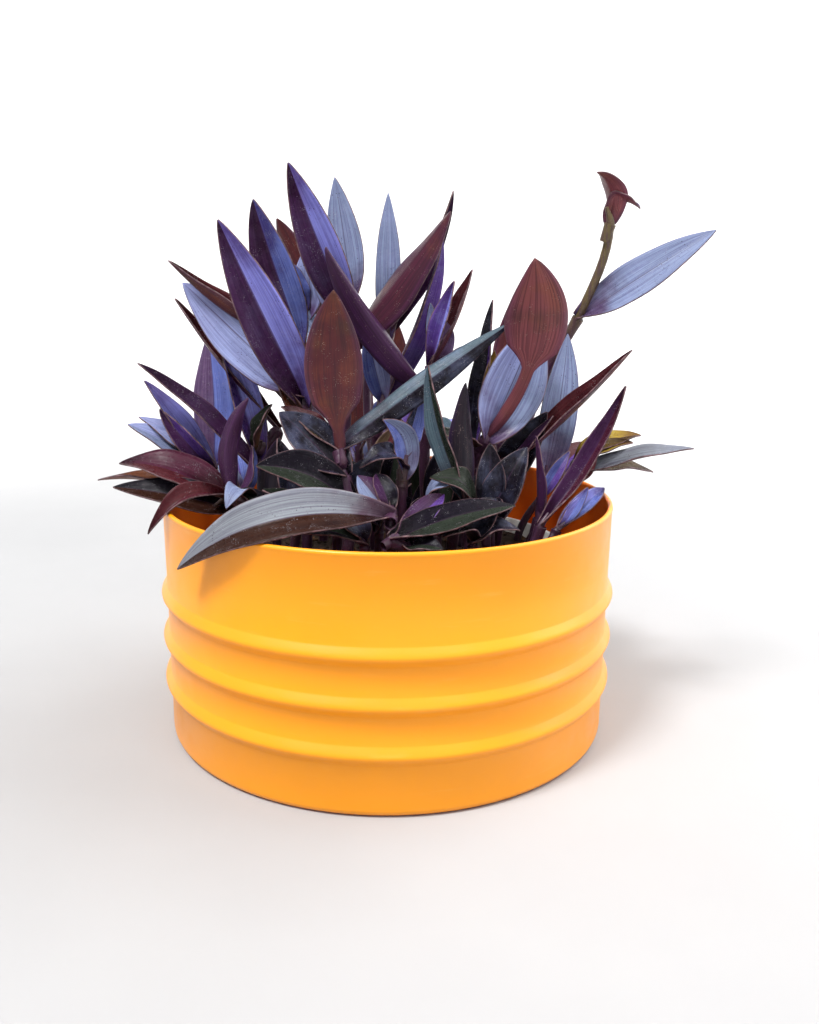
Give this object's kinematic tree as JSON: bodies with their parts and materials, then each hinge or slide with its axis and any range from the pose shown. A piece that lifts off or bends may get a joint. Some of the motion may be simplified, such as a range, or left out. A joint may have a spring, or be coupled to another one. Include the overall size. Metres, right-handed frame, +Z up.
{
  "type": "potted purple heart tradescantia",
  "caption": "Leafy house plant with narrow folded purple leaves on fleshy stems, in a ribbed round metal pot with a plain plastic grow pot of potting mix inside.",
  "frame": {"origin": "centre of the metal pot's underside, on the surface that it stands on", "axes": "+Z up along the pot's axis; -Y towards the front, the side seen in the picture"},
  "size_m": [0.3222, 0.2552, 0.2914],
  "materials": {
    "powder_coat": "satin",
    "white_plastic": "matte",
    "potting_mix": "rough, crumbly",
    "purple_leaf": "satin with a grey bloom"
  },
  "bodies": {
    "root": {"metal_pot": "powder_coat", "grow_pot": "white_plastic", "potting_mix": "potting_mix", "stem_tall_left": "purple_leaf", "stem_back_left": "purple_leaf", "stem_left_lean": "purple_leaf", "stem_left_upright": "purple_leaf", "stem_left_spray": "purple_leaf", "stem_left_low": "purple_leaf", "stem_curl_left": "purple_leaf", "stem_front_oval": "purple_leaf", "stem_front_grey": "purple_leaf", "stem_front_dark": "purple_leaf", "stem_centre_curl": "purple_leaf", "stem_centre_back": "purple_leaf", "stem_centre_cross": "purple_leaf", "stem_centre_green": "purple_leaf", "stem_right_broad": "purple_leaf", "stem_right_tall": "purple_leaf", "stem_right_dark": "purple_leaf", "stem_right_fork": "purple_leaf", "stem_right_front": "purple_leaf", "stem_right_low": "purple_leaf", "stem_right_rim": "purple_leaf", "stem_low_left": "purple_leaf", "stem_low_mid_left": "purple_leaf", "stem_low_centre": "purple_leaf", "stem_low_mid_right": "purple_leaf", "stem_low_right": "purple_leaf", "stem_low_back": "purple_leaf", "stem_low_back_right": "purple_leaf", "stem_low_front_left": "purple_leaf", "stem_low_front_right": "purple_leaf", "stem_rear_left_high": "purple_leaf", "stem_rear_mid_left": "purple_leaf", "stem_rear_centre": "purple_leaf", "stem_rear_mid_right": "purple_leaf", "stem_rear_right_high": "purple_leaf", "stem_rear_left_low": "purple_leaf", "stem_rear_right_low": "purple_leaf"}
  },
  "joints": []
}
